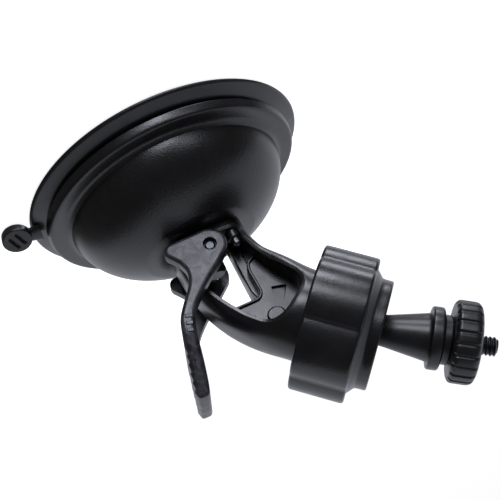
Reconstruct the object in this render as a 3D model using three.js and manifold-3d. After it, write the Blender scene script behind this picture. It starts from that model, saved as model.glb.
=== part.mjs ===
// A windscreen suction mount for a dash camera, in millimetres, with +Z up.
// The suction face lies on z = 0 and the cup's axis is Z. A lock lever pulls the pad's middle
// into a domed housing, and a curved arm leans towards +X to a ball joint, a ball nut and a
// threaded stud with a thumbwheel, which the camera screws onto.

import * as THREE from 'three';
import { mergeVertices } from 'three/addons/utils/BufferGeometryUtils.js';
import { ParametricGeometry } from 'three/addons/geometries/ParametricGeometry.js';
import Module from 'manifold-3d';

const wasm = await Module();
wasm.setup();

// ---------------------------------------------------------------- driving dimensions

const clearance = 0.3;          // between pieces that touch on the real mount

const lipRadius = 48;           // soft pad, at the edge of its lip
const padHeight = 4.2;
const padFloor = 3.0;           // rubber under the core plate
const tabRadius = 4.8;
const tabThickness = 3.0;
const tabReach = 53;            // from the cup's axis to the tab's centre

const collarRadius = 44;        // housing, at its rim
const collarBottom = 4.7;
const collarTop = 8.4;
const domeRadius = 37.1;        // half-width and half-height of the dome's elliptical section
const domeHeight = 24;
const domeBase = 8;
const domeTop = 28.7;           // the flat on the dome, where the arm stands
const domeWall = 2.6;
const stemRadius = 3.6;
const stemPort = 5.6;           // radius of the hole that the stem and its bush pass

const coreRadius = 24.2;
const corePlate = 2.5;
const hubRadius = 7.6;
const springRadius = 5.3;       // to the middle of the wire
const springWire = 0.55;
const springTurns = 5;

const pinHeight = 36.5;         // lever pin above the suction face
const pinRadius = 1.5;
const leverHalf = 15.1;         // half the lever's width
const cheekGap = 10.6;          // half the gap between its two cheeks

const armHalf = 10.1;           // half the arm's width where it passes between the cheeks
const webHalf = 1.6;            // half the thickness of the arm's middle web

const ballCentre = new THREE.Vector3(25.1, 0, 71.4);
const nutLean = THREE.MathUtils.degToRad(47.6);     // from +Z towards +X
const studLean = THREE.MathUtils.degToRad(55);
const ballRadius = 9.6;
const tubeRadius = 14.75;
const boreRadius = 12.2;
const boreBottom = -10.8;       // along the nut's axis, from the ball's centre
const tubeMouth = 2.2;

const nutBack = -8;
const nutShoulder = 9.8;
const nutFront = 15.5;
const lobeCount = 6;
const lobeRadius = 23.3;        // to the crown of a lobe
const creaseRadius = 21.6;      // to the crease between two lobes
const creaseTurn = THREE.MathUtils.degToRad(22);
const nutRingRadius = 17.5;

const flangeRadius = 9.9;       // along the stud's axis, from the ball's centre
const flangeStart = 30.3;
const flangeEnd = 34.1;
const neckRadius = 7.8;
const neckEnd = 36.8;
const studRadius = 3.1;         // quarter-inch thread
const threadRoot = 2.6;
const threadPitch = 1.27;
const studStart = 22.3;
const studEnd = 51.5;
const wheelRadius = 13;
const wheelStart = 37.1;
const wheelEnd = 45.5;
const fluteCount = 22;
const insertRadius = 5.2;

const screwPlaces = [[9.4, 6.0], [9.4, -6.0], [-8.9, 0]];
const screwRadius = 1.3;
const screwHeadRadius = 2.5;
const screwTop = 37;

// ---------------------------------------------------------------- materials

const finish = (colour, roughness, metalness = 0) =>
  new THREE.MeshStandardMaterial({ color: colour, roughness, metalness });

const rubber = 0x17171a;
const glossBlack = 0x0c0c0d;
const satinBlack = 0x101012;
const leverGrey = 0x45444d;
const steel = 0xa9abad;
const brass = 0xb08d4a;
const acetal = 0xd9d6cc;

// ---------------------------------------------------------------- solids

// Six times the volume that the triangles close, positive where they face out.
function turnedOut(position, corners) {
  const [a, b, c] = [new THREE.Vector3(), new THREE.Vector3(), new THREE.Vector3()];
  let sum = 0;
  for (let i = 0; i < corners.length; i += 3) {
    a.fromArray(position, 3 * corners[i]);
    b.fromArray(position, 3 * corners[i + 1]);
    c.fromArray(position, 3 * corners[i + 2]);
    sum += a.dot(b.cross(c));
  }
  return sum > 0;
}

// A closed three.js geometry as a manifold solid: shared corners merged, slivers dropped.
function solid(geometry) {
  const bare = geometry.clone();
  bare.deleteAttribute('normal');
  bare.deleteAttribute('uv');
  const merged = mergeVertices(bare, 1e-4);
  const position = Float32Array.from(merged.attributes.position.array);
  const index = merged.index.array;
  const corners = [];
  for (let i = 0; i < index.length; i += 3) {
    const [a, b, c] = [index[i], index[i + 1], index[i + 2]];
    if (a !== b && b !== c && c !== a) corners.push(a, b, c);
  }
  if (!turnedOut(position, corners)) corners.reverse();
  return new wasm.Manifold(new wasm.Mesh({
    numProp: 3, vertProperties: position, triVerts: Uint32Array.from(corners),
  }));
}

function surface(body) {
  const mesh = body.getMesh();
  const geometry = new THREE.BufferGeometry();
  geometry.setAttribute('position', new THREE.BufferAttribute(mesh.vertProperties, 3));
  geometry.setIndex(new THREE.BufferAttribute(mesh.triVerts, 1));
  geometry.computeVertexNormals();
  return geometry;
}

// A solid of revolution about Z from [radius, height] points.
function turned(points, sides = 40) {
  const profile = points.map(([r, z]) => new THREE.Vector2(r, z));
  return solid(new THREE.LatheGeometry(profile, sides).rotateX(Math.PI / 2));
}

// The same from a profile that stays clear of the axis and closes on itself.
const turnedRing = (points, sides) => turned([...points, points[0]], sides);

// A plate whose outline lies in the XZ plane, between y = from and y = to.
function plateXZ(outline, from, to) {
  const shape = new THREE.Shape(outline.map(([x, z]) => new THREE.Vector2(x, z)));
  const geometry = new THREE.ExtrudeGeometry(shape, { depth: to - from, bevelEnabled: false });
  return solid(geometry.translate(0, 0, -to).rotateX(Math.PI / 2));
}

// A plate whose outline lies in the XY plane, between z = from and z = to.
function plateXY(outline, from, to, bevel = 0) {
  const shape = new THREE.Shape(outline.map(([x, y]) => new THREE.Vector2(x, y)));
  const geometry = new THREE.ExtrudeGeometry(shape, {
    depth: to - from - 2 * bevel, bevelEnabled: bevel > 0, bevelThickness: bevel,
    bevelSize: bevel, bevelOffset: -bevel, bevelSegments: 1,
  });
  return solid(geometry.translate(0, 0, from + bevel));
}

// A round bar along Z, and one that lies across, along Y.
function rod(radius, from, to, sides = 20) {
  const geometry = new THREE.CylinderGeometry(radius, radius, to - from, sides);
  return solid(geometry.rotateX(Math.PI / 2).translate(0, 0, (from + to) / 2));
}

function crossRod(radius, half, x, z, sides = 20) {
  const geometry = new THREE.CylinderGeometry(radius, radius, 2 * half, sides);
  return solid(geometry.translate(x, 0, z));
}

function block(low, high) {
  const size = high.map((value, i) => value - low[i]);
  const middle = high.map((value, i) => (value + low[i]) / 2);
  return solid(new THREE.BoxGeometry(...size).translate(...middle));
}

// Points of an arc, by radius and angle in degrees, about a centre.
function arc(cx, cy, radius, from, to, steps) {
  return Array.from({ length: steps + 1 }, (_, i) => {
    const turn = THREE.MathUtils.degToRad(from + (to - from) * i / steps);
    return [cx + radius * Math.cos(turn), cy + radius * Math.sin(turn)];
  });
}

// A smooth open line through a few points, given back as many points.
function smooth(points, steps) {
  const curve = new THREE.SplineCurve(points.map(([x, z]) => new THREE.Vector2(x, z)));
  return curve.getPoints(steps).map((p) => [p.x, p.y]);
}

// ---------------------------------------------------------------- suction cup

function suctionPad() {
  const disc = turned([
    [0, 0], [46.9, 0], [lipRadius, 0.7], [47.6, 1.6], [42.8, padHeight - 0.2], [42, padHeight],
    [41, padHeight], [40.2, 3.6], [coreRadius + 0.8, 3.6], [coreRadius + clearance, padFloor],
    [0, padFloor],
  ], 52);
  const tab = rod(tabRadius, -tabThickness / 2, tabThickness / 2, 28);
  const neck = block([2.5, -4, -2.4], [8, 2.2, 0.3]);
  const pose = new THREE.Matrix4().compose(
    new THREE.Vector3(-tabReach, 5.2, 3.4),
    new THREE.Quaternion().setFromUnitVectors(
      new THREE.Vector3(0, 0, 1), new THREE.Vector3(-0.12, 0.36, 0.925).normalize()),
    new THREE.Vector3(1, 1, 1));
  const pull = tab.add(neck).transform(pose.elements);
  return disc.add(pull);
}

function corePlateSolid() {
  const low = padFloor + clearance;
  const plate = turned([
    [0, low], [coreRadius, low], [coreRadius, low + corePlate - 0.4],
    [coreRadius - 0.4, low + corePlate], [hubRadius, low + corePlate],
    [hubRadius, low + corePlate + 2], [stemRadius, low + corePlate + 2],
    [stemRadius, pinHeight + 3.6], [stemRadius - 1, pinHeight + 4.6], [0, pinHeight + 4.6],
  ], 36);
  return plate.subtract(crossRod(pinRadius + clearance, 10, 0, pinHeight));
}

// Section of the dome's skin between two heights: an ellipse, set in by the wall for its inside.
function domeSkin(from, to, inset, steps) {
  const turnAt = (z) => Math.asin((z - domeBase) / (domeHeight - inset));
  const [start, end] = [turnAt(from), turnAt(to)];
  return Array.from({ length: steps + 1 }, (_, i) => {
    const turn = start + (end - start) * i / steps;
    return [(domeRadius - inset) * Math.cos(turn), domeBase + (domeHeight - inset) * Math.sin(turn)];
  });
}

function domeHousing() {
  const inside = domeTop - domeWall;
  const shell = turnedRing([
    [domeRadius - domeWall, collarBottom], [collarRadius - 0.7, collarBottom],
    [collarRadius, collarBottom + 0.7], [collarRadius, collarTop - 0.8],
    [collarRadius - 0.8, collarTop], [domeRadius + 1.2, collarTop + 0.4],
    ...domeSkin(collarTop + 1.2, domeTop, 0, 8),
    [stemPort, domeTop], [stemPort, inside],
    ...domeSkin(domeBase, inside, domeWall, 6).reverse(),
  ], 48);
  const holes = screwPlaces.map(([x, y]) =>
    rod(screwRadius + clearance, inside - 1, domeTop + 1, 12).translate([x, y, 0]));
  return shell.subtract(wasm.Manifold.union(holes));
}

function stemBush() {
  const flangeTop = domeTop - domeWall - clearance;
  return turnedRing([
    [stemRadius + clearance, flangeTop - 1.4], [6.1, flangeTop - 1.4], [6.1, flangeTop],
    [stemPort - clearance, flangeTop], [stemPort - clearance, domeTop + 2.6],
    [stemRadius + clearance, domeTop + 2.6],
  ], 24);
}

const bushUnderside = domeTop - domeWall - clearance - 1.4;

function springWasher() {
  const top = bushUnderside - clearance;
  return turnedRing([
    [stemRadius + 0.4, top - 0.8], [6.2, top - 0.8], [6.2, top], [stemRadius + 0.4, top],
  ], 24);
}

function plungerSpring() {
  const bottom = padFloor + clearance + corePlate + 2 + clearance + springWire;
  const top = bushUnderside - 2 * clearance - 0.8 - springWire;
  const stepsPerTurn = 10;
  const steps = springTurns * stepsPerTurn;
  class Coil extends THREE.Curve {
    getPoint(t, target = new THREE.Vector3()) {
      const turn = 2 * Math.PI * springTurns * t;
      return target.set(
        springRadius * Math.cos(turn), springRadius * Math.sin(turn), bottom + (top - bottom) * t);
    }
  }
  const wire = new THREE.Shape(arc(0, 0, springWire, 0, 300, 5)
    .map(([x, y]) => new THREE.Vector2(x, y)));
  return solid(new THREE.ExtrudeGeometry(wire, { steps, extrudePath: new Coil(), bevelEnabled: false }));
}

// ---------------------------------------------------------------- lock lever

const nose = { x: -11.4, z: 33.7, radius: 2.6 };
const leverFlat = pinHeight - 5.55;
const gripStart = 55;           // the cheeks join into one grip plate beyond here

function leverOutline() {
  const dome = arc(0, pinHeight, 5.4, -62, 38, 8);
  const back = smooth([
    [4.2, 39.9], [0.5, 42.9], [-4.7, 46.7], [-9.7, 50.9], [-13.0, 54.2], [-15.3, 58.6],
    [-16.7, 64], [-17.9, 69.5], [-19.6, 76.6],
  ], 18);
  const tip = [[-20.6, 79.0], [-21.6, 79.6], [-23.4, 79.4], [-24.2, 78.4]];
  const front = smooth([
    [-24.2, 76.8], [-23.1, 71.5], [-21.7, 65.8], [-20.3, 60.4], [-18.3, 55.0], [-15.2, 50.6],
    [-12.1, 46.8], [-10.7, 44.2], [-10.3, 41.4], [-11.2, 38.4],
  ], 20);
  const noseArc = arc(nose.x, nose.z, nose.radius, 135, 262, 8);
  return [[0.6, leverFlat], ...dome, ...back, ...tip, ...front, ...noseArc];
}

function lockLever() {
  const body = plateXZ(leverOutline(), -leverHalf, leverHalf);
  const slot = block([-40, -cheekGap, 20], [20, cheekGap, gripStart]);
  const slotEnd = solid(new THREE.CylinderGeometry(cheekGap, cheekGap, 60, 24)
    .rotateZ(Math.PI / 2).scale(1, 1, 0.5).translate(-10, 0, gripStart));
  const pinHole = crossRod(pinRadius + clearance, 20, 0, pinHeight, 16);
  const counterbores = [-1, 1].map((side) =>
    crossRod(2.2, 1.0, 0, pinHeight, 16).translate([0, side * (leverHalf - 0.2), 0]));
  const corners = [-1, 1].map((side) => block([-40, -5, -5], [40, 5, 5])
    .rotate([45, 0, 0]).translate([0, side * (leverHalf + 3.6), 83.1]));
  return body.subtract(wasm.Manifold.union([slot, slotEnd, pinHole, ...counterbores, ...corners]));
}

// ---------------------------------------------------------------- arm

// The arm's centre line, from the dome's flat to the mouth of the ball tube.
function armLine() {
  const along = (distance) => [
    ballCentre.x + distance * Math.sin(nutLean), ballCentre.z + distance * Math.cos(nutLean)];
  return new THREE.CatmullRomCurve3([
    [1.4, domeTop + clearance], [1.6, 36], [4.4, 47.0], [11.6, 57.8], along(-8), along(tubeMouth),
  ].map(([x, z]) => new THREE.Vector3(x, 0, z)), false, 'centripetal');
}

// Its section's half-width in the XZ plane and along Y, and how square it is, at 0 to 1.
function armSection(t) {
  const blend = THREE.MathUtils.smoothstep(t, 0.25, 0.78);
  const inPlane = THREE.MathUtils.lerp(12.6, tubeRadius, THREE.MathUtils.smoothstep(t, 0, 0.6));
  return {
    inPlane,
    across: THREE.MathUtils.lerp(armHalf, tubeRadius, blend),
    square: THREE.MathUtils.lerp(4, 2, blend),
  };
}

// The arm as a tube of changing section; its first and last rings shrink to the middle as caps.
function armBody() {
  const armRings = 18;
  const line = armLine();
  const [middle, ahead] = [new THREE.Vector3(), new THREE.Vector3()];
  const power = (value, square) => Math.sign(value) * Math.abs(value) ** (2 / square);
  const place = (u, v, target) => {
    const inner = THREE.MathUtils.clamp((v * armRings - 1) / (armRings - 2), 0, 1);
    const size = v === 0 || v === 1 ? 0 : 1;
    line.getPointAt(inner, middle);
    line.getTangentAt(inner, ahead);
    if (inner === 0) ahead.set(0, 0, 1);
    const { inPlane, across, square } = armSection(inner);
    const turn = 2 * Math.PI * u;
    const side = size * inPlane * power(Math.cos(turn), square);
    target.set(
      middle.x + side * ahead.z, size * across * power(Math.sin(turn), square),
      middle.z - side * ahead.x);
  };
  return solid(new ParametricGeometry(place, 32, armRings));
}

function windowOutline() {
  return [
    [-8.2, domeTop + 3.2], [11.0, domeTop + 3.2],
    ...smooth([
      [11.2, 36], [12.3, 40], [15.0, 45.8], [18.4, 51.4], [20.5, 55.8], [19.6, 60.0],
      [15.4, 63.4], [10.6, 65.8], [6.6, 65.6], [2.6, 62.0], [-1.5, 55.8], [-5.4, 48.0],
      [-7.6, 41], [-8.2, 35],
    ], 34),
  ];
}

function supportArm() {
  const opening = plateXZ(windowOutline(), -30, 30);
  const web = plateXZ([
    [24, 40.6], [24, 75], [-9, 75], [-9, 54.3], [8.7, 54.3], [10.1, 52.6], [10.1, 42.0],
    [11.2, 40.6],
  ], -webHalf, webHalf);
  const rib = block([7.4, -armHalf + 1, domeTop], [11, -webHalf + 0.2, 48.7]);
  const bosses = screwPlaces.map(([x, y]) =>
    rod(2.6, domeTop + clearance, screwTop + 1.4, 16).translate([x, y, 0]));
  const cut = opening.subtract(wasm.Manifold.union([web, rib, ...bosses]));
  const bore = rod(boreRadius, boreBottom, tubeMouth + 5, 40)
    .rotate([0, THREE.MathUtils.radToDeg(nutLean), 0]).translate(ballCentre.toArray());
  const port = rod(stemPort, domeTop - 5, domeTop + 12, 24);
  const screwHoles = screwPlaces.map(([x, y]) =>
    rod(screwRadius + clearance, domeTop - 5, screwTop + clearance, 12).translate([x, y, 0]));
  return armBody().subtract(wasm.Manifold.union([cut, bore, port, ...screwHoles]));
}

function armScrew([x, y]) {
  const seat = domeTop - domeWall - clearance;
  return turned([
    [0, seat - 1.6], [screwHeadRadius - 0.4, seat - 1.6], [screwHeadRadius, seat - 1],
    [screwHeadRadius, seat], [screwRadius, seat], [screwRadius, screwTop - 0.8],
    [0.5, screwTop], [0, screwTop],
  ], 14).translate([x, y, 0]);
}

// ---------------------------------------------------------------- ball joint, about its own Z

const onBall = (z, gap = clearance) => [Math.sqrt((ballRadius + gap) ** 2 - z * z), z];

function rearBallSeat() {
  const outer = boreRadius - clearance;
  return turnedRing([
    [outer, -0.6], ...[-0.6, -2.6, -4.6, -6.4, -7.8, -8.6].map((z) => onBall(z)),
    [onBall(-8.6)[0], -9.1], [outer - 1, -9.1], [outer, -8.1],
  ], 32);
}

function seatCushion() {
  return turnedRing([[5.4, -10.5], [boreRadius - 0.5, -10.5], [boreRadius - 0.5, -9.4], [5.4, -9.4]], 28);
}

function frontBallRing() {
  return turnedRing([
    onBall(2.6), [14.3, 2.6], [14.3, 3.9], [10.6, 5.6], [8.7, 5.6], onBall(5.2), onBall(4.0),
  ], 36);
}

// Outline of the lobed grip: six equal arcs that meet in creases.
function lobedOutline(stepsPerLobe) {
  const halfTurn = Math.PI / lobeCount;
  const halfChord = creaseRadius * Math.sin(halfTurn);
  const rise = lobeRadius - creaseRadius * Math.cos(halfTurn);
  const bow = (halfChord ** 2 + rise ** 2) / (2 * rise);
  const spread = Math.asin(halfChord / bow);
  const points = [];
  for (let lobe = 0; lobe < lobeCount; lobe += 1) {
    const crown = creaseTurn + (2 * lobe + 1) * halfTurn;
    for (let i = 0; i < stepsPerLobe; i += 1) {
      const swing = crown + spread * (2 * i / stepsPerLobe - 1);
      points.push([
        (lobeRadius - bow) * Math.cos(crown) + bow * Math.cos(swing),
        (lobeRadius - bow) * Math.sin(crown) + bow * Math.sin(swing)]);
    }
  }
  return points;
}

function ballNut() {
  // The lobes are laid out from +Y towards the upper side, so x and y change places here.
  const outline = lobedOutline(6).map(([a, b]) => [-b, a]);
  const grip = plateXY(outline, nutBack, nutShoulder, 0.9);
  const nosePiece = turned([
    [0, 0], [19.9, 0], [19.9, nutShoulder - 0.4], [18.5, 10.8], [17.8, 12], [nutRingRadius, 13.2],
    [nutRingRadius, nutFront - 0.6], [nutRingRadius - 0.6, nutFront], [0, nutFront],
  ], 44);
  const inside = turned([
    [0, nutBack - 1], [tubeRadius + clearance, nutBack - 1], [tubeRadius + clearance, 3.2],
    [14.7, 4.3], [10.8, 6.1], [9.3, 6.1], [9.6, 7], [15.3, nutFront], [16, nutFront + 1],
    [0, nutFront + 1],
  ], 44);
  return grip.add(nosePiece).subtract(inside);
}

// ---------------------------------------------------------------- ball stud, about its own Z

function ballStem() {
  const join = Math.sqrt(ballRadius ** 2 - 4.3 ** 2);
  const ball = arc(0, 0, ballRadius, -90, THREE.MathUtils.radToDeg(Math.asin(join / ballRadius)), 11);
  const body = turned([
    [0, -ballRadius], ...ball.slice(1), [4.4, 11], [4.9, 16], [7.6, flangeStart - 0.4],
    [7.8, flangeStart], [flangeRadius - 0.6, flangeStart], [flangeRadius, flangeStart + 0.7],
    [flangeRadius, flangeEnd - 0.7], [flangeRadius - 0.6, flangeEnd], [neckRadius, flangeEnd + 0.2],
    [neckRadius, neckEnd - 0.4], [neckRadius - 0.4, neckEnd], [0, neckEnd],
  ], 30);
  return body.subtract(rod(studRadius + clearance, studStart - clearance, neckEnd + 2, 20));
}

function threadedStud() {
  const crests = [];
  for (let z = neckEnd + 1.6; z < studEnd - threadPitch; z += threadPitch) {
    crests.push([threadRoot, z]);
    crests.push([studRadius, z + 0.42 * threadPitch], [studRadius, z + 0.58 * threadPitch]);
  }
  return turned([
    [0, studStart], [studRadius, studStart], [studRadius, neckEnd + 1], ...crests,
    [threadRoot, studEnd - 0.8], [threadRoot - 0.5, studEnd], [0, studEnd],
  ], 16);
}

function thumbwheel() {
  const disc = turnedRing([
    [insertRadius + clearance, wheelStart], [neckRadius + 0.4, wheelStart],
    [wheelRadius - 1.2, wheelStart], [wheelRadius, wheelStart + 1], [wheelRadius, wheelEnd - 1.4],
    [wheelRadius - 0.5, wheelEnd - 0.5], [wheelRadius - 1.5, wheelEnd],
    [insertRadius + clearance, wheelEnd],
  ], 44);
  const flutes = Array.from({ length: fluteCount }, (_, i) => rod(1.25, 30, 60, 10)
    .translate([wheelRadius + 0.5, 0, 0]).rotate([0, 0, 360 * i / fluteCount]));
  return disc.subtract(wasm.Manifold.union(flutes));
}

function wheelInsert() {
  return turnedRing([
    [studRadius + clearance, wheelStart + 0.6], [insertRadius, wheelStart + 0.6],
    [insertRadius, wheelEnd - 0.5], [studRadius + clearance, wheelEnd - 0.5],
  ], 20);
}

// ---------------------------------------------------------------- assembly

const group = new THREE.Group();
group.name = 'suction_mount';

const onNutAxis = new THREE.Group();
onNutAxis.position.copy(ballCentre);
onNutAxis.rotation.y = nutLean;

const onStudAxis = new THREE.Group();
onStudAxis.position.copy(ballCentre);
onStudAxis.rotation.y = studLean;

function add(parent, name, body, material) {
  const mesh = new THREE.Mesh(surface(body), material);
  mesh.name = name;
  parent.add(mesh);
}

add(group, 'suction_pad', suctionPad(), finish(rubber, 0.55));
add(group, 'core_plate', corePlateSolid(), finish(satinBlack, 0.5));
add(group, 'plunger_spring', plungerSpring(), finish(steel, 0.35, 1));
add(group, 'spring_washer', springWasher(), finish(steel, 0.35, 1));
add(group, 'stem_bush', stemBush(), finish(acetal, 0.5));
add(group, 'dome_housing', domeHousing(), finish(glossBlack, 0.3));
add(group, 'lock_lever', lockLever(), finish(leverGrey, 0.4));
add(group, 'lever_pin', crossRod(pinRadius, leverHalf - 1.3, 0, pinHeight, 18), finish(steel, 0.3, 1));
add(group, 'support_arm', supportArm(), finish(glossBlack, 0.3));
screwPlaces.forEach((place, i) =>
  add(group, `arm_screw_${i + 1}`, armScrew(place), finish(steel, 0.35, 1)));
add(onNutAxis, 'seat_cushion', seatCushion(), finish(rubber, 0.8));
add(onNutAxis, 'rear_ball_seat', rearBallSeat(), finish(acetal, 0.5));
add(onNutAxis, 'front_ball_ring', frontBallRing(), finish(acetal, 0.5));
add(onNutAxis, 'ball_nut', ballNut(), finish(satinBlack, 0.35));
add(onStudAxis, 'ball_stem', ballStem(), finish(glossBlack, 0.32));
add(onStudAxis, 'threaded_stud', threadedStud(), finish(0x1a1a1c, 0.35, 0.8));
add(onStudAxis, 'thumbwheel', thumbwheel(), finish(satinBlack, 0.42));
add(onStudAxis, 'wheel_insert', wheelInsert(), finish(brass, 0.35, 1));
group.add(onNutAxis, onStudAxis);

export default group;
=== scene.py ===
"""Looks for the windscreen suction mount of a dash camera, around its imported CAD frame.

Shapes are worked out in millimetres as numpy arrays and put into meshes in metres.
"""

import math

import bmesh
import bpy
import numpy as np
from mathutils import Matrix, Vector


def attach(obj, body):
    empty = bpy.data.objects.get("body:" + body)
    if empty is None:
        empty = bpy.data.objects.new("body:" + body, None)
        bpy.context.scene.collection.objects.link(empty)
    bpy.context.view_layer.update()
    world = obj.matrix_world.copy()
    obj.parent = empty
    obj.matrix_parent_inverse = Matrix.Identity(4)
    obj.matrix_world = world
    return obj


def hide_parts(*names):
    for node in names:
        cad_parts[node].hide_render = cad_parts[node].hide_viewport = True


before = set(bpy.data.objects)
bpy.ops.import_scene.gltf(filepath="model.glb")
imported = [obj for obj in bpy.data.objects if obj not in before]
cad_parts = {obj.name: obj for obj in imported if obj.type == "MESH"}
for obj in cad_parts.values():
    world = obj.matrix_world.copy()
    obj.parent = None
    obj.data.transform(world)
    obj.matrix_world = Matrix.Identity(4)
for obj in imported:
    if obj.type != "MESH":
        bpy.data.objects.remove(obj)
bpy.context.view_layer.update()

MM = 0.001
CLEARANCE = 0.3
LIP_RADIUS = 48.0
COLLAR_RADIUS = 44.0
COLLAR_BOTTOM = 4.7
COLLAR_TOP = 8.4
DOME_RADIUS = 37.1
DOME_HEIGHT = 24.0
DOME_BASE = 8.0
DOME_TOP = 28.7
DOME_WALL = 2.6
STEM_PORT = 5.6
PIN_HEIGHT = 36.5
PIN_HALF = 13.8
PIN_RADIUS = 1.5
LEVER_HALF = 15.1
CHEEK_GAP = 10.6
GRIP_START = 55.0
TAPER_START = 60.5
TAPER_LENGTH = 19.0
TAPER_SHARE = 0.30
ARM_HALF = 10.1
WEB_HALF = 1.6
PIT_DEPTH = 1.35
BALL = np.array([25.1, 0.0, 71.4])
NUT_LEAN = math.radians(47.6)
STUD_LEAN = math.radians(55.0)
BALL_RADIUS = 9.6
TUBE_RADIUS = 14.75
BORE_RADIUS = 12.2
NUT_BACK = -8.0
NUT_SHOULDER = 9.8
NUT_FRONT = 15.5
LOBES = 6
LOBE_RADIUS = 23.3
CREASE_RADIUS = 21.6
CREASE_TURN = math.radians(22.0)
WHEEL_RADIUS = 13.0
WHEEL_START = 37.1
WHEEL_END = 45.5
FLUTES = 22
STUD_RADIUS = 3.1
THREAD_ROOT = 2.6
THREAD_PITCH = 1.27
# The slow swell of a moulding's surface along its flow marks.
FLOW_SWELL = 0.02
SCREWS = ((9.4, 6.0), (9.4, -6.0), (-8.9, 0.0))


# ---------------------------------------------------------------- materials

def linear(colour):
    """An sRGB hex colour such as "1a1b1c" as linear red, green, blue and alpha."""
    parts = np.array([int(colour[i:i + 2], 16) / 255 for i in (0, 2, 4)])
    low, high = parts / 12.92, ((parts + 0.055) / 1.055) ** 2.4
    return (*np.where(parts <= 0.04045, low, high).tolist(), 1.0)


def add(tree, kind, values=None, links=None, **settings):
    """Adds a node of this kind, sets its settings and socket values, and links its inputs."""
    node = tree.nodes.new(kind)
    for name, value in settings.items():
        setattr(node, name, value)
    for name, value in (values or {}).items():
        node.inputs[name].default_value = value
    for name, source in (links or {}).items():
        tree.links.new(source, node.inputs[name])
    return node


def ramp(tree, source, stops):
    """A colour ramp on a source, from (position, hex colour or grey level) stops."""
    node = add(tree, "ShaderNodeValToRGB", links={"Fac": source})
    while len(node.color_ramp.elements) < len(stops):
        node.color_ramp.elements.new(0.5)
    for element, (place, tone) in zip(node.color_ramp.elements, stops):
        element.position = place
        element.color = linear(tone) if isinstance(tone, str) else (tone, tone, tone, 1.0)
    return node.outputs["Color"]


def per_metre(size_mm):
    """A noise scale whose features are this many millimetres across."""
    return 1.0 / (size_mm * MM)


def moulded(name, dark, light, roughness, spread, grain, depth, mottle, specular=0.5):
    """A moulded polymer: flow mottling between two tones, uneven gloss, spark grain and specks.

    Roughness runs over roughness +- spread with the mottling; grain and mottle are feature
    sizes and depth is the height of the grain, all in millimetres.
    """
    material = bpy.data.materials.new(name)
    material.use_nodes = True
    tree = material.node_tree
    shader = tree.nodes["Principled BSDF"]
    place = add(tree, "ShaderNodeTexCoord").outputs["Object"]
    flow = add(tree, "ShaderNodeTexNoise", {
        "Scale": per_metre(mottle), "Detail": 5.0, "Roughness": 0.58, "Distortion": 0.9,
    }, {"Vector": place}).outputs["Fac"]
    fine = add(tree, "ShaderNodeTexNoise", {
        "Scale": per_metre(grain), "Detail": 2.0, "Roughness": 0.6,
    }, {"Vector": place}).outputs["Fac"]
    cells = add(tree, "ShaderNodeTexVoronoi", {
        "Scale": per_metre(grain * 1.7), "Randomness": 1.0}, {"Vector": place}).outputs["Distance"]
    specks = add(tree, "ShaderNodeTexNoise", {
        "Scale": per_metre(grain * 2.6), "Detail": 1.0}, {"Vector": place}).outputs["Fac"]
    tone = ramp(tree, flow, [(0.36, dark), (0.66, light)])
    dust = ramp(tree, specks, [(0.70, 0.0), (0.80, 1.0)])
    speckled = add(tree, "ShaderNodeMix", {"B": linear(light)}, {"A": tone, "Factor": dust},
                   data_type="RGBA").outputs[2]
    tree.links.new(speckled, shader.inputs["Base Color"])
    gloss = add(tree, "ShaderNodeMapRange", {
        "From Min": 0.3, "From Max": 0.7, "To Min": roughness - spread,
        "To Max": roughness + spread}, {"Value": flow}).outputs["Result"]
    tree.links.new(gloss, shader.inputs["Roughness"])
    height = add(tree, "ShaderNodeMath", links={0: fine, 1: cells}, operation="ADD").outputs[0]
    bump = add(tree, "ShaderNodeBump", {"Strength": 1.0, "Distance": depth * MM},
               {"Height": height})
    swell = add(tree, "ShaderNodeBump", {"Strength": 1.0, "Distance": FLOW_SWELL * MM},
                {"Height": flow, "Normal": bump.outputs["Normal"]})
    tree.links.new(swell.outputs["Normal"], shader.inputs["Normal"])
    shader.inputs["IOR"].default_value = 1.5
    shader.inputs["Specular IOR Level"].default_value = specular
    return material


def machined(name, colour, worn, roughness, line):
    """A metal with fine lines round the turned or drawn form and faint handling stains."""
    material = bpy.data.materials.new(name)
    material.use_nodes = True
    tree = material.node_tree
    shader = tree.nodes["Principled BSDF"]
    place = add(tree, "ShaderNodeTexCoord").outputs["Object"]
    along = add(tree, "ShaderNodeMapping", {"Scale": (0.15, 1.0, 1.0)},
                {"Vector": place}).outputs["Vector"]
    lines = add(tree, "ShaderNodeTexNoise", {"Scale": per_metre(line), "Detail": 3.0},
                {"Vector": along}).outputs["Fac"]
    stains = add(tree, "ShaderNodeTexNoise", {"Scale": per_metre(4.0), "Detail": 4.0},
                 {"Vector": place}).outputs["Fac"]
    tree.links.new(ramp(tree, stains, [(0.35, colour), (0.7, worn)]), shader.inputs["Base Color"])
    gloss = add(tree, "ShaderNodeMapRange", {
        "To Min": roughness - 0.08, "To Max": roughness + 0.1}, {"Value": stains}).outputs["Result"]
    tree.links.new(gloss, shader.inputs["Roughness"])
    bump = add(tree, "ShaderNodeBump", {"Strength": 0.6, "Distance": 0.01 * MM}, {"Height": lines})
    tree.links.new(bump.outputs["Normal"], shader.inputs["Normal"])
    shader.inputs["Metallic"].default_value = 1.0
    return material


# Plasticised PVC from a polished mould: even dark grey-black with a soft, slightly greasy gloss.
pvc = moulded("soft_pvc_polished", "08080a", "0e0e11", 0.33, 0.05, 0.5, 0.004, 14.0)
# ABS with a fine spark-eroded grain: highlights break up into sparkle, tones stay near black.
housing_abs = moulded("abs_spark_grain", "070708", "0d0d0f", 0.32, 0.04, 0.42, 0.026, 16.0)
# The same ABS from a smoother mould: cleaner, tighter highlights along every rim.
arm_abs = moulded("abs_smooth_moulded", "070708", "0e0e10", 0.30, 0.05, 0.42, 0.008, 10.0)
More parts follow.
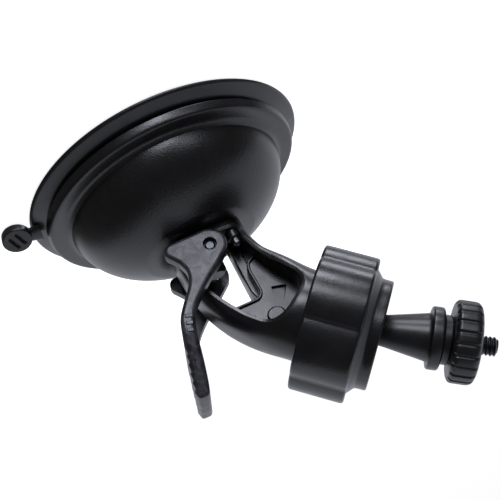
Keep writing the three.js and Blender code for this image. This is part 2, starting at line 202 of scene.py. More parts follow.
# ABS with a coarser grain on the grip's faces.
nut_abs = moulded("abs_coarse_grain", "08080a", "0e0e10", 0.29, 0.04, 0.45, 0.016, 12.0)
# Glass-filled nylon, grey: cloudy flow marks where the fibres surface, satin all over.
lever_nylon = moulded("glass_filled_nylon", "0f0f13", "28272f", 0.37, 0.08, 0.55, 0.012, 3.6)
# Unfilled black nylon: waxy, a little softer than the ABS.
stem_nylon = moulded("nylon_moulded", "09090b", "111114", 0.36, 0.05, 0.45, 0.008, 9.0)
wheel_abs = moulded("abs_wheel_satin", "09090a", "101012", 0.38, 0.05, 0.45, 0.010, 8.0)
# Black acetal with a waxy mould skin.
acetal = moulded("acetal_black", "0c0c0d", "17171a", 0.36, 0.05, 0.5, 0.006, 6.0)
core_plastic = moulded("nylon_core", "0b0b0c", "141416", 0.40, 0.05, 0.5, 0.010, 8.0)
cork_rubber = moulded("nitrile_rubber", "0b0b0b", "161616", 0.72, 0.08, 0.7, 0.020, 3.0, 0.3)
# Bright zinc on drawn steel, brass bar turned and left plain, black oxide on cut steel.
zinc_steel = machined("zinc_plated_steel", "86888c", "66686c", 0.40, 0.08)
# A darker copy of the zinc-plated steel for the whole pin: painted shade that dims its reflection
# of the lights, above all at the pin's ends.
pin_steel_painted_shade = machined("zinc_plated_pin_painted_shade", "5e6064", "45474b", 0.42, 0.08)
spring_steel = machined("drawn_spring_steel", "8e9094", "6d6f73", 0.34, 0.06)
black_steel = machined("black_oxide_steel", "3a3a3e", "55565b", 0.38, 0.08)
brass = machined("turned_brass", "b08d4a", "8d6c33", 0.34, 0.10)


# ---------------------------------------------------------------- meshes

def leaned(points, lean, centre=BALL):
    """Points about a joint's own Z axis, leaned from +Z towards +X and moved to the ball."""
    c, s = math.cos(lean), math.sin(lean)
    turn = np.array([[c, 0, s], [0, 1, 0], [-s, 0, c]])
    return points @ turn.T + centre


def mesh_from(name, corners, faces):
    """A mesh in metres from corners in millimetres, with doubles merged and faces outward."""
    mesh = bpy.data.meshes.new(name)
    mesh.from_pydata((corners * MM).tolist(), [], faces)
    work = bmesh.new()
    work.from_mesh(mesh)
    bmesh.ops.remove_doubles(work, verts=work.verts, dist=2e-6)
    bmesh.ops.dissolve_degenerate(work, edges=work.edges, dist=1e-6)
    bmesh.ops.triangulate(work, faces=[face for face in work.faces if len(face.verts) > 4])
    if work.calc_volume(signed=True) < 0:
        bmesh.ops.reverse_faces(work, faces=work.faces)
    work.to_mesh(mesh)
    work.free()
    return mesh


def grid(name, points, wrap_rows=False, caps=False):
    """A quad surface over a grid of points; columns close round, rows too when wrap_rows is set.

    caps closes the first and last row with one flat face each.
    """
    rows, cols = points.shape[:2]
    r = np.arange(rows if wrap_rows else rows - 1)[:, None]
    c = np.arange(cols)[None, :]
    up, right = (r + 1) % rows, (c + 1) % cols
    quads = np.stack([r * cols + c, r * cols + right, up * cols + right, up * cols + c], -1)
    faces = quads.reshape(-1, 4).tolist()
    if caps:
        faces += [list(range(cols))[::-1], list(range((rows - 1) * cols, rows * cols))]
    return mesh_from(name, points.reshape(-1, 3), faces)


def joined(name, meshes):
    """One mesh that holds several."""
    work = bmesh.new()
    for mesh in meshes:
        work.from_mesh(mesh)
    out = bpy.data.meshes.new(name)
    work.to_mesh(out)
    work.free()
    return out


def carve(mesh, cutters):
    """The mesh with each cutter's volume taken away, by an exact Boolean that is then applied."""
    body = bpy.data.objects.new("blank", mesh)
    bpy.context.scene.collection.objects.link(body)
    tools = []
    for i, cutter in enumerate(cutters):
        tool = bpy.data.objects.new(f"cutter_{i}", cutter)
        bpy.context.scene.collection.objects.link(tool)
        cut = body.modifiers.new("cut", "BOOLEAN")
        cut.operation, cut.solver, cut.object = "DIFFERENCE", "EXACT", tool
        tools.append(tool)
    bpy.context.view_layer.update()
    result = bpy.data.meshes.new_from_object(
        body.evaluated_get(bpy.context.evaluated_depsgraph_get()))
    for item in [body, *tools]:
        bpy.data.objects.remove(item)
    work = bmesh.new()
    work.from_mesh(result)
    bmesh.ops.remove_doubles(work, verts=work.verts, dist=2e-6)
    loose = [edge for edge in work.edges if not edge.link_faces]
    bmesh.ops.delete(work, geom=loose, context="EDGES")
    bmesh.ops.holes_fill(work, edges=[edge for edge in work.edges if edge.is_boundary], sides=4)
    bmesh.ops.recalc_face_normals(work, faces=work.faces)
    work.to_mesh(result)
    work.free()
    return result


def piece(name, mesh, material, body, nodes=(), crease=32):
    """Shows a mesh as a piece that rides on a body and stands for CAD nodes; edges over crease
    degrees stay sharp."""
    mesh.shade_smooth()
    mesh.set_sharp_from_angle(angle=math.radians(crease))
    mesh.materials.clear()
    mesh.materials.append(material)
    shown = bpy.data.objects.new(name, mesh)
    bpy.context.scene.collection.objects.link(shown)
    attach(shown, body)
    if nodes:
        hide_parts(*nodes)
    return shown


def rounded(corners, steps=5):
    """A profile with each corner rounded: (a, b, size) rows become a curve that leaves and joins
    the sides size away from the corner, as a quadratic through it; size 0 keeps the corner."""
    rows = [np.array(c, float) for c in corners]
    out = []
    for i, row in enumerate(rows):
        point, size = row[:2], row[2] if len(row) > 2 else 0.0
        if size <= 0 or i in (0, len(rows) - 1):
            out.append(point[None])
            continue
        ends = [point + (rows[j][:2] - point) * min(
            size / max(np.linalg.norm(rows[j][:2] - point), 1e-9), 0.48) for j in (i - 1, i + 1)]
        t = np.linspace(0, 1, steps + 1)[:, None]
        out.append((1 - t) ** 2 * ends[0] + 2 * t * (1 - t) * point + t ** 2 * ends[1])
    return np.vstack(out)


def ring_points(profile, sides):
    """A profile of (radius, height) rows swung round Z: x = r cos, y = r sin, z = height."""
    turn = np.linspace(0, 2 * np.pi, sides, endpoint=False)
    r, z = profile[:, :1], profile[:, 1:2]
    return np.stack([r * np.cos(turn), r * np.sin(turn), z + 0 * turn], -1)


def turned(name, profile, sides=96, ring=False):
    """A solid of revolution about Z; ring says that the profile closes on itself, off the axis."""
    return grid(name, ring_points(np.asarray(profile, float), sides), wrap_rows=ring)


def smooth_line(points, steps):
    """A Catmull-Rom curve through points: each span is a cubic whose end slopes come from its
    neighbours, with knots spaced by the square root of distance."""
    p = np.asarray(points, float)
    p = np.vstack([2 * p[0] - p[1], p, 2 * p[-1] - p[-2]])
    gap = np.maximum(np.linalg.norm(np.diff(p, axis=0), axis=1), 1e-6) ** 0.5
    a, b, c, d = p[:-3], p[1:-2], p[2:-1], p[3:]
    g0, g1, g2 = gap[:-2, None], gap[1:-1, None], gap[2:, None]
    m0 = ((b - a) / g0 - (c - a) / (g0 + g1) + (c - b) / g1) * g1
    m1 = ((c - b) / g1 - (d - b) / (g1 + g2) + (d - c) / g2) * g1
    t = np.linspace(0, 1, 24, endpoint=False)[None, :, None]
    curve = ((2 * t ** 3 - 3 * t ** 2 + 1) * b[:, None] + (t ** 3 - 2 * t ** 2 + t) * m0[:, None]
             + (3 * t ** 2 - 2 * t ** 3) * c[:, None] + (t ** 3 - t ** 2) * m1[:, None])
    curve = curve.reshape(-1, 2)
    return respaced(np.vstack([curve, p[-2:-1]]), steps)


def respaced(line, steps):
    """The same line as steps + 1 points at even distances along it."""
    run = np.r_[0, np.cumsum(np.linalg.norm(np.diff(line, axis=0), axis=1))]
    at = np.linspace(0, run[-1], steps + 1)
    return np.stack([np.interp(at, run, line[:, i]) for i in (0, 1)], 1)


def arc(cx, cy, radius, start, end, steps):
    """Points of an arc about a centre, between two angles in degrees."""
    turn = np.radians(np.linspace(start, end, steps + 1))
    return np.stack([cx + radius * np.cos(turn), cy + radius * np.sin(turn)], 1)


def outward(outline):
    """Unit normals of a closed outline that point away from its inside."""
    ahead = np.roll(outline, -1, 0) - np.roll(outline, 1, 0)
    normal = np.stack([ahead[:, 1], -ahead[:, 0]], 1)
    normal /= np.maximum(np.linalg.norm(normal, axis=1, keepdims=True), 1e-9)
    following = np.roll(outline, -1, 0)
    area = np.sum(outline[:, 0] * following[:, 1] - following[:, 0] * outline[:, 1])
    return normal if area > 0 else -normal


def plate(name, outline, low, high, radius, steps=5):
    """A plate with its outline in XZ between two Y values and rounded rims.

    Each rim is a quarter circle: the outline moves in by radius (1 - sin) as Y goes out by
    radius (1 - cos). radius may differ from point to point. One more ring just inside each rim
    keeps the flat face's shading flat.
    """
    normal = outward(outline)
    size = np.broadcast_to(np.asarray(radius, float), (len(outline),))[:, None]
    turn = np.linspace(0, np.pi / 2, steps + 1)[:, None, None]
    inset = outline[None] - normal[None] * size[None] * (1 - np.sin(turn))
    inset = np.concatenate([inset[:1] - normal[None] * 0.12 * np.minimum(size[None], 1), inset])
    drop = (size[None] * (1 - np.cos(turn)))[..., 0]
    drop = np.concatenate([drop[:1], drop])
    far = low + drop
    near = (high - drop)[::-1]
    rows = np.concatenate([inset, inset[::-1]])
    y = np.concatenate([far, near])
    points = np.stack([rows[..., 0], y, rows[..., 1]], -1)
    return grid(name, points, caps=True)


def rod(name, radius, low, high, sides=48):
    """A plain round bar along Z between two heights."""
    return turned(name, [[0, low], [radius, low], [radius, high], [0, high]], sides)


def shifted(mesh, move=(0, 0, 0), lean=None, across=False):
    """The mesh turned to lie along Y when across is set, or leaned about the ball, then moved."""
    co = np.empty(len(mesh.vertices) * 3)
    mesh.vertices.foreach_get("co", co)
    co = co.reshape(-1, 3)
    if across:
        co = co[:, [1, 2, 0]]
    if lean is not None:
        co = leaned(co / MM, lean) * MM
    mesh.vertices.foreach_set("co", (co + np.array(move) * MM).ravel())
    mesh.update()
    return mesh


# ---------------------------------------------------------------- suction cup

def pad_mesh():
    """The soft pad: a profile swung round Z, with a thin rolled lip and a shallow dish below."""
    profile = rounded([
        (0, 0.9), (30, 0.9, 4), (40.5, 0.35, 1.0), (41.2, 0.05, 0.3), (46.9, 0.0, 0.5),
        (LIP_RADIUS, 0.75, 0.5), (47.5, 1.7, 0.5), (45.2, 2.75, 0.9), (42.9, 4.0, 0.4),
        (42.3, 4.2, 0.25), (41.0, 4.2, 0.3), (40.2, 3.6, 0.4), (25.0, 3.6, 0.3),
        (24.5, 3.0, 0.2), (0, 3.0)], 6)
    return turned("suction_pad", profile, 160)


def tab_mesh():
    """The pull tab: a thick disc as rings of a polar grid, its top face cut by two slanting
    grooves: height falls by a smooth bell across each groove's line."""
    profile = rounded([(0, -1.5), (4.8, -1.5, 0.5), (4.8, 1.5, 0.55), (3.6, 1.5, 0.1), (0, 1.5)], 6)
    inner = np.linspace(3.5, 0, 30)[:, None] * [1, 0] + [0, 1.5]
    points = ring_points(np.vstack([profile[:-2], inner]), 144)
    x, y, z = points[..., 0], points[..., 1], points[..., 2]
    across = x * math.cos(math.radians(24)) + y * math.sin(math.radians(24))
    along = -x * math.sin(math.radians(24)) + y * math.cos(math.radians(24))
    grooves = sum(np.exp(-((across - at) / 0.42) ** 2) for at in (-1.3, 1.3))
    edge = np.clip((2.7 - np.abs(along)) / 0.5, 0, 1)
    points[..., 2] = np.where(z > 1.2, z - 0.7 * grooves * edge, z)
    up = np.array([-0.12, 0.36, 0.925]) / np.linalg.norm([-0.12, 0.36, 0.925])
    side = np.cross(up, [0, 0, 1.0])
    side /= np.linalg.norm(side)
    turn = math.acos(up[2])
    cross = np.array([[0, -side[2], side[1]], [side[2], 0, -side[0]], [-side[1], side[0], 0]])
    spin = np.eye(3) - math.sin(turn) * cross + (1 - math.cos(turn)) * cross @ cross
    centre = np.array([-53, 5.2, 3.4])
    # The neck is a flattened bar: an oval that widens from the tab to the pad's lip.
    t = np.linspace(0, 1, 9)[:, None]
    around = np.linspace(0, 2 * np.pi, 28, endpoint=False)[None]
    half = 2.6 + 1.0 * t ** 2
    neck = np.stack([3.2 + 4.6 * t + 0 * around, -0.9 - 0.2 * t + half * np.cos(around),
                     -0.95 + (1.2 + 0.1 * t) * np.sin(around)], -1)
    return joined("pull_tab", [grid("tab", points @ spin.T + centre),
                               grid("neck", neck @ spin.T + centre, caps=True)])


def dome_mesh():
    """The housing: a stepped collar and an elliptical dome swung round Z, then the inner wall."""
    def skin(low, high, inset, steps):
        start, end = (math.asin((z - DOME_BASE) / (DOME_HEIGHT - inset)) for z in (low, high))
        turn = np.linspace(start, end, steps)
        return np.stack([(DOME_RADIUS - inset) * np.cos(turn),
                         DOME_BASE + (DOME_HEIGHT - inset) * np.sin(turn)], 1)
    collar = rounded([
        (34.5, COLLAR_BOTTOM), (43.0, COLLAR_BOTTOM, 0.3),
        (COLLAR_RADIUS, COLLAR_BOTTOM + 0.5, 0.4), (COLLAR_RADIUS - 0.5, COLLAR_TOP - 0.5, 0.9),
        (42.7, COLLAR_TOP, 0.7), (38.6, COLLAR_TOP + 0.1, 0.8),
        (37.0, COLLAR_TOP + 1.0)], 7)
    top = rounded([(12.9, DOME_TOP - 0.04), (STEM_PORT, DOME_TOP, 0.3),
                   (STEM_PORT, DOME_TOP - DOME_WALL, 0.2), (12, DOME_TOP - DOME_WALL)], 3)
    profile = np.vstack([collar[:-1], skin(COLLAR_TOP + 1.5, DOME_TOP - 0.05, 0, 44), top[:-1],
                         skin(DOME_BASE, DOME_TOP - DOME_WALL, DOME_WALL, 20)[::-1]])
    return turned("dome_housing", profile, 192, ring=True)


# ---------------------------------------------------------------- lock lever

def lever_outline():
    """The lever's side outline: its rounded head, back, tip, ridged front and nose."""
    head = np.vstack([[[0.6, PIN_HEIGHT - 5.55]], arc(0, PIN_HEIGHT, 5.4, -62, 38, 14)])
    back = smooth_line([
        (4.2, 39.9), (0.5, 42.9), (-4.7, 46.7), (-9.7, 50.9), (-12.8, 54.2), (-14.8, 58.6),
        (-16.1, 64), (-17.2, 69.5), (-18.8, 76.2), (-19.5, 78.2)], 60)
    tip = rounded([(-19.5, 78.2), (-20.2, 79.2, 0.7), (-23.1, 79.1, 0.8), (-23.7, 76.8)], 6)
    front = smooth_line([
        (-23.7, 76.6), (-22.7, 71.5), (-21.4, 65.8), (-20.1, 60.4), (-18.3, 55.0), (-15.2, 50.6),
        (-12.1, 46.8), (-10.7, 44.2), (-10.3, 41.4), (-11.2, 38.4)], 110)
    height = front[:, 1]
    # Grip ridges: shallow teeth 2.6 mm apart, one flank steep, on the outer face above z = 63.
    tooth = np.clip(1 - ((height - 63.2) % 2.6) / 1.7, 0, 1)
    share = np.clip((height - 63) / 1.5, 0, 1) * np.clip((77 - height) / 1.5, 0, 1)
    front[:, 0] += 0.42 * (1 - tooth) * share
    nose = arc(-11.4, 33.7, 2.6, 135, 262, 16)
    return respaced(np.vstack([head, back[1:], tip[1:], front[1:], nose, head[:1]]), 330)[:-1]


def lever_mesh():
    """The lever: one rounded plate across its whole width, less the fork and the pin's hole and
    recesses, then drawn in towards its tip."""
    outline = lever_outline()
    z = outline[:, 1]
    radius = 1.25 + 0.65 * np.clip((z - 56) / 5, 0, 1) - 1.3 * np.clip((z - 76.6) / 2.2, 0, 1)
    body = plate("lock_lever", outline, -LEVER_HALF, LEVER_HALF, radius, 6)
    end = arc(0, 0, CHEEK_GAP, 0, 180, 40) * [1, 0.5] + [0, GRIP_START]
    slot = np.vstack([end, [[-CHEEK_GAP, 20], [CHEEK_GAP, 20]]])
    depth = np.array([-40.0, 20.0])[:, None]
    fork = np.stack([depth + 0 * slot[:, 0], slot[:, 0] + 0 * depth, slot[:, 1] + 0 * depth], -1)
    cutters = [grid("fork", fork, caps=True),
               shifted(rod("hole", 1.8, -20, 20, 40), (0, 0, PIN_HEIGHT), across=True)]
    near = rounded([(0, -2.3), (2.2, -2.3, 0.2), (2.2, 0.0), (2.6, 0.35), (0, 0.35)])
    far = [(0, 2.3), (2.2, 2.3), (2.2, 0), (2.6, -0.35), (0, -0.35)]
    for side, recess in ((-1, far), (1, near)):
        cutters.append(shifted(turned("recess", recess, 40), (0, side * LEVER_HALF, PIN_HEIGHT),
                               across=True))
    return tapered(carve(body, cutters))


def tapered(mesh):
    """The lever's grip drawn in: the mesh is sliced level every 0.8 mm, then y is scaled by a
    share of the height, falling in a straight line and over a quarter ellipse at the tip."""
    work = bmesh.new()
    work.from_mesh(mesh)
    for height in np.arange(60.6, 79.0, 0.8):
        bmesh.ops.bisect_plane(work, geom=work.verts[:] + work.edges[:] + work.faces[:], dist=1e-7,
                               plane_co=(0, 0, height * MM), plane_no=(0, 0, 1))
    work.to_mesh(mesh)
    work.free()
    co = np.empty(len(mesh.vertices) * 3)
    mesh.vertices.foreach_get("co", co)
    co = co.reshape(-1, 3)
    z = co[:, 2] / MM
    run = np.clip((z - 77.8) / 2.0, 0, 1)
    share = np.clip((z - TAPER_START) / TAPER_LENGTH, 0, 1)
    co[:, 1] *= 1 - TAPER_SHARE * share - 0.05 * (1 - np.sqrt(1 - run ** 2))
    mesh.vertices.foreach_set("co", co.ravel())
    mesh.update()
    return mesh


def lever_steps():
    """Three short moulded bars across each cheek where it narrows, as small rounded plates."""
    bars = []
    ahead = np.array([-2.1, 6.6]) / math.hypot(2.1, 6.6)
    cross = np.array([ahead[1], -ahead[0]])
    for i, at in enumerate((0.0, 2.1, 4.2)):
        middle = np.array([-15.75, 55.6]) + ahead * at * 1.08
        half = np.array([1.2 - 0.08 * i, 0.62])
        corner = np.array([(-1, -1), (1, -1), (1, 1), (-1, 1)]) * half
        loop = middle + corner[:, :1] * cross + corner[:, 1:] * ahead
        loop = respaced(np.vstack([loop, loop[:1]]), 40)[:-1]
        for side in (-1, 1):
            low, high = sorted((side * (LEVER_HALF - 1.0), side * (LEVER_HALF + 0.28)))
            bars.append(plate("bar", loop, low, high, 0.22, 4))
    return joined("lever_bars", bars)


# ---------------------------------------------------------------- arm

def along_nut(distance):
    """The point on the nut's axis at this distance from the ball, as (x, z)."""
    return (BALL[0] + distance * math.sin(NUT_LEAN), BALL[2] + distance * math.cos(NUT_LEAN))


ARM_STEPS = 600
ARM_LINE = smooth_line([(1.4, DOME_TOP + CLEARANCE), (1.6, 36), (4.4, 47.0), (11.6, 57.8),
                        along_nut(-8), along_nut(2.2)], ARM_STEPS)
ARM_AHEAD = np.gradient(ARM_LINE, axis=0)
ARM_AHEAD /= np.linalg.norm(ARM_AHEAD, axis=1, keepdims=True)


def smoothstep(t, low, high):
    """0 below low, 1 above high, and a cubic with level ends between."""
    u = np.clip((t - low) / (high - low), 0, 1)
    return u * u * (3 - 2 * u)


def arm_section(t):
    """Half-width in the plane, half-width across and squareness of the arm's section at t."""
    mix = smoothstep(t, 0.36, 0.80)
    in_plane = 12.6 + (TUBE_RADIUS - 12.6) * smoothstep(t, 0, 0.6)
    return in_plane, ARM_HALF + (TUBE_RADIUS - ARM_HALF) * mix, 4 - 2 * mix


def arm_point(t, turn):
    """A point of the arm's near half: a superellipse section, turn 0 to pi across it, carried
    along the centre line; x and z in the plane and y = across * sin(turn) ** (2 / squareness)."""
    at = t * ARM_STEPS
    index = np.arange(ARM_STEPS + 1)
    middle = np.stack([np.interp(at, index, ARM_LINE[:, i]) for i in (0, 1)], -1)
    ahead = np.stack([np.interp(at, index, ARM_AHEAD[:, i]) for i in (0, 1)], -1)
    in_plane, across, square = arm_section(t)
    cos, sin = np.cos(turn), np.clip(np.sin(turn), 0, 1)
    offset = in_plane * np.sign(cos) * np.abs(cos) ** (2 / square)
    y = across * sin ** (2 / square)
    return np.stack([middle[..., 0] + offset * ahead[..., 1], y,
                     middle[..., 1] - offset * ahead[..., 0]], -1)


def arm_place(points):
    """The (t, turn) of points (x, z) in the arm's plane: t of the nearest centre point, and turn
    from the offset to that point."""
    gap = points[:, None] - ARM_LINE[None]
    nearest = np.argmin((gap ** 2).sum(-1), 1)
    t = nearest / ARM_STEPS
    ahead = ARM_AHEAD[nearest]
    across = np.stack([ahead[:, 1], -ahead[:, 0]], 1)
    offset = (gap[np.arange(len(points)), nearest] * across).sum(1)
    in_plane, _, square = arm_section(t)
    share = np.clip(offset / in_plane, -0.999, 0.999)
    return t, np.arccos(np.sign(share) * np.abs(share) ** (square / 2))


def window_outline(steps=260):
    """The window through the arm, a closed line in XZ with rounded lower corners."""
    side = smooth_line([
        (11.2, 36), (12.3, 40), (15.0, 45.8), (18.4, 51.4), (20.5, 55.8), (19.6, 60.0),
        (15.4, 63.4), (10.6, 65.8), (6.6, 65.6), (2.6, 62.0), (-1.5, 55.8), (-5.4, 48.0),
        (-7.6, 41), (-8.2, 35)], 200)
    floor_height = DOME_TOP + 3.2
    foot = rounded([(-8.2, 35), (-8.2, floor_height, 1.2), (11.0, floor_height, 1.2),
                    (11.2, 36)], 6)
    return respaced(np.vstack([side, foot[1:-1], side[:1]]), steps)[:-1]


def arm_mesh():
    """The arm as one closed band round its window. In the (t, turn) plane each window point runs
    out along a ray to the edge of the arm; the rim is a shallow bevel down into the window."""
    loop = window_outline()
    normal = outward(loop)
    rim = 1.25
    t, turn = arm_place(loop + normal * rim)
    middle = np.array([0.42, np.pi / 2])
    scale = np.array([3.2, 1.0])
    ray = (np.stack([t, turn], 1) - middle) * scale
    reach = np.min(np.where(ray > 0, (np.array([1.0, np.pi]) - middle) * scale,
                            middle * scale) / np.maximum(np.abs(ray), 1e-9), 1)
    edge = middle + ray * reach[:, None] / scale
    for corner in ((0, 0), (0, np.pi), (1, 0), (1, np.pi)):
        gap = (((edge - corner) * scale) ** 2).sum(1)
        edge[np.argmin(gap)] = corner
    v = np.linspace(0, 1, 34)[:, None, None] ** 1.7
    place = (1 - v) * edge[None] + v * np.stack([t, turn], 1)[None]
    face = arm_point(place[..., 0], place[..., 1])
    top = face[-1, :, 1]
    bevel = rounded([(0, 0), (0.15, 0.03, 0.1), (1.1, 0.29, 0.12), (rim, 1.1)], 5)[1:]
    flat = loop[None] + normal[None] * (rim - bevel[:, :1, None])
    fall = top[None] - bevel[:, 1:]
    curve = np.stack([flat[..., 0], fall, flat[..., 1]], -1)
    down = np.linspace(1, 0, 5)[1:, None] * fall[-1][None]
    wall = np.stack([loop[:, 0] + 0 * down, down, loop[:, 1] + 0 * down], -1)
    start = face[:1] * [1, 0, 1]
    half = np.concatenate([start, face, curve, wall])
    other = (half * [1, -1, 1])[::-1]
    body = grid("support_arm", np.concatenate([half, other[1:-1]]), wrap_rows=True)
    bore = shifted(rod("bore", BORE_RADIUS, -10.8, 8, 96), lean=NUT_LEAN)
    cutters = [bore, rod("port", STEM_PORT, DOME_TOP - 5, DOME_TOP + 12, 48)]
    return carve(body, cutters)


WEB_STEP = ((8.2, 54.9, 1.5), (9.8, 53.0, 1.2), (9.4, 44.6, 1.5), (10.2, 42.2, 1.0),
            (12.6, 40.9, 0.8))


def web_rib():
    """The raised rim along the web's stepped edge: a rounded oblong, wide by the edge's side
    direction and deep along Y, carried along that edge. It stands proud of both faces."""
    line = respaced(rounded([(-2.4, 54.8), *WEB_STEP, (14.4, 40.2)], 8), 120)
    ahead = np.gradient(line, axis=0)
    side = np.stack([ahead[:, 1], -ahead[:, 0]], 1) / np.linalg.norm(ahead, axis=1, keepdims=True)
    around = np.linspace(0, 2 * np.pi, 48, endpoint=False)
    wide, deep = (np.sign(f) * np.sqrt(np.abs(f)) for f in (np.cos(around), np.sin(around)))
    flat = line[:, None] + side[:, None] * 0.55 * wide[None, :, None]
    y = np.broadcast_to((WEB_HALF + 1.0) * deep, flat.shape[:2])
    return grid("web_rim", np.stack([flat[..., 0], y, flat[..., 1]], -1), caps=True)


def web_mesh():
    """The middle web: the window's outline a little enlarged, closed by a stepped inner edge."""
    loop = window_outline(400)
    wide = loop + outward(loop) * 1.2
    keep = ((wide[:, 1] > 54.3) | (wide[:, 0] > 10.1)) & (wide[:, 1] > 40.6)
    order = np.nonzero(keep)[0]
    jumps = np.nonzero(np.diff(order) > 1)[0]
    start = order[jumps[0] + 1] if len(jumps) else order[0]
    part = np.roll(wide, -start, 0)[:len(order)]
    if part[0, 0] < part[-1, 0]:
        part = part[::-1]
    step = rounded([tuple(part[-1]), *WEB_STEP, tuple(part[0])], 6)
    outline = respaced(np.vstack([part, step[1:]]), 300)[:-1]
    # The two sharp ends of the edge are hidden in the arm's wall; their rims shrink to nothing.
    ends = np.linalg.norm(outline[:, None] - np.stack([part[0], part[-1]])[None], axis=2).min(1)
    rim = 0.35 * np.clip(ends / 2.5 - 0.25, 0.02, 1)
    web = plate("arm_web", outline, -WEB_HALF, WEB_HALF, rim, 4)
    pit = rounded([(14.0, 52.7), (18.2, 53.9, 1.0), (15.0, 58.4, 1.6), (12.9, 57.6, 1.0),
                   (13.2, 52.5, 0.6), (14.0, 52.7)], 6)
    pit = respaced(pit, 80)[:-1]
    cutters = [plate("pit", pit, WEB_HALF - PIT_DEPTH, WEB_HALF + 2, 0.3, 4),
               plate("pit", pit, -WEB_HALF - 2, -WEB_HALF + PIT_DEPTH, 0.3, 4)]
    return carve(web, cutters)


def arm_details():
    """Moulded details inside the arm: a half-round boss on each face of the web, the screw
    bosses on the foot and the stiffening rib on the far side."""
    parts = []
    for side in (-1, 1):
        bump = np.array([10.6, 61.9]) + arc(0, 0, 3.0, 0, 360, 48)[:-1] * [1, 0.85]
        low, high = sorted((side * (WEB_HALF - 0.4), side * (WEB_HALF + 1.1)))
        parts.append(plate("bump", bump, low, high, 0.6, 5))
    for x, y in SCREWS:
        boss = turned("boss", rounded([(0, 29.0), (2.3, 29.0), (2.3, 34.4, 0.3), (0, 34.5)], 6), 40)
        parts.append(shifted(boss, (x, y, 0)))
    rib = respaced(rounded([(9, 29), (11.0, 29.0, 0.1), (10.6, 53.4, 0.9), (9.0, 54.6, 0.9),
                            (7.4, 50.5, 1.2), (7.4, 29, 0.1), (9, 29)], 5), 120)[:-1]
    parts.append(plate("rib", rib, -ARM_HALF + 1, -WEB_HALF + 0.2, 0.4, 3))
    return joined("arm_details", parts)


# ---------------------------------------------------------------- ball joint and stud

def lobed(steps):
    """Radii of six equal arcs that meet in creases, as points: each arc has its centre on the
    lobe's middle line, and swings from crease to crease."""
    half_turn = np.pi / LOBES
    chord = CREASE_RADIUS * math.sin(half_turn)
    rise = LOBE_RADIUS - CREASE_RADIUS * math.cos(half_turn)
    bow = (chord ** 2 + rise ** 2) / (2 * rise)
    spread = math.asin(chord / bow)
    crown = CREASE_TURN + (2 * np.arange(LOBES)[:, None] + 1) * half_turn
    swing = crown + spread * np.linspace(-1, 1, steps, endpoint=False)[None]
    a = (LOBE_RADIUS - bow) * np.cos(crown) + bow * np.cos(swing)
    b = (LOBE_RADIUS - bow) * np.sin(crown) + bow * np.sin(swing)
    # A fine raised bead runs along each crease, where the mould's inserts meet.
    gap = (1 - np.abs(np.linspace(-1, 1, steps, endpoint=False))) * spread * bow
    bead = 1 + 0.2 * np.exp(-(gap / 0.3) ** 2) / CREASE_RADIUS
    return np.stack([-(b * bead).ravel(), (a * bead).ravel()], 1)


def nut_mesh():
    """The nut: rows from its bore round the back, up the lobes, over the shoulder to the round
    nose and into its flared mouth. A row is part lobed outline and part circle."""
    outline = lobed(72)
    angle = np.arctan2(outline[:, 1], outline[:, 0])
    circle = np.stack([np.cos(angle), np.sin(angle)], 1)
    outer = rounded([(-4.0, NUT_BACK), (0, NUT_BACK, 1.1), (0, NUT_SHOULDER, 1.2),
                     (-2.2, NUT_SHOULDER)], 8)
    lobes = np.stack([outline + circle * inset for inset, _ in outer])
    nose = rounded([
        (20.0, NUT_SHOULDER), (19.6, NUT_SHOULDER + 0.3, 0.3), (18.6, 11.0, 0.5), (17.6, 11.9, 0.4),
        (17.5, 13.0, 0.4), (17.5, NUT_FRONT, 0.7), (15.6, NUT_FRONT, 0.6), (9.6, 7.0, 0.5),
        (9.3, 6.1, 0.2),
        (10.8, 6.1, 0.3), (14.7, 4.3, 0.4), (TUBE_RADIUS + CLEARANCE, 3.2, 0.3),
        (TUBE_RADIUS + CLEARANCE, NUT_BACK)], 6)
    round_rows = circle[None] * nose[:, :1, None]
    rows = np.concatenate([lobes, round_rows])
    height = np.r_[outer[:, 1], nose[:, 1]]
    along = np.broadcast_to(height[:, None, None], (*rows.shape[:2], 1))
    points = np.concatenate([rows, along], -1)
    return grid("ball_nut", leaned(points, NUT_LEAN), wrap_rows=True)


def stem_mesh():
    """The ball, its neck and the flanged stem as one profile swung round the stud's axis."""
    join = math.asin(math.sqrt(BALL_RADIUS ** 2 - 4.3 ** 2) / BALL_RADIUS)
    ball = arc(0, 0, BALL_RADIUS, -90, math.degrees(join), 40)
    ball[0, 0] = 0
    rest = rounded([
        tuple(ball[-1]), (4.4, 11, 1.5), (4.9, 16, 2), (7.55, 29.6, 0.5), (7.9, 30.3, 0.3),
        (9.9, 30.3, 0.9), (9.9, 34.1, 0.9), (7.8, 34.3, 0.4), (7.8, 36.8, 0.5), (3.4, 36.8, 0.1),
        (3.4, 22.0), (0, 22.0)], 7)
    profile = np.vstack([ball[:-1], rest])
    return grid("ball_stem", leaned(ring_points(profile, 128), STUD_LEAN))


def stud_mesh():
    """The threaded stud: radius follows a flattened wave of height minus pitch times turn, so
    its crests climb as a true helix; it fades out at the shank and at the pointed end."""
    z = np.arange(22.3, 51.5 + 0.001, 0.106)
    turn = np.linspace(0, 2 * np.pi, 48, endpoint=False)
    phase = (z[:, None] / THREAD_PITCH - turn[None] / (2 * np.pi)) % 1.0
    wave = np.clip((0.5 - np.abs(phase - 0.5)) * 2.4 - 0.1, 0, 1)
    start = np.clip((z - 38.0) / 0.8, 0, 1)[:, None]
    depth = (STUD_RADIUS - THREAD_ROOT) * start * (1 - wave)
    radius = (STUD_RADIUS - depth) - 0.75 * np.clip((z - 50.6) / 0.9, 0, 1)[:, None] ** 1.5
    points = np.stack([radius * np.cos(turn), radius * np.sin(turn), z[:, None] + 0 * radius], -1)
    ends = [points[:1] * [0, 0, 1], points[-1:] * [0, 0, 1]]
    return grid("threaded_stud", leaned(np.concatenate([ends[0], points, ends[1]]), STUD_LEAN))


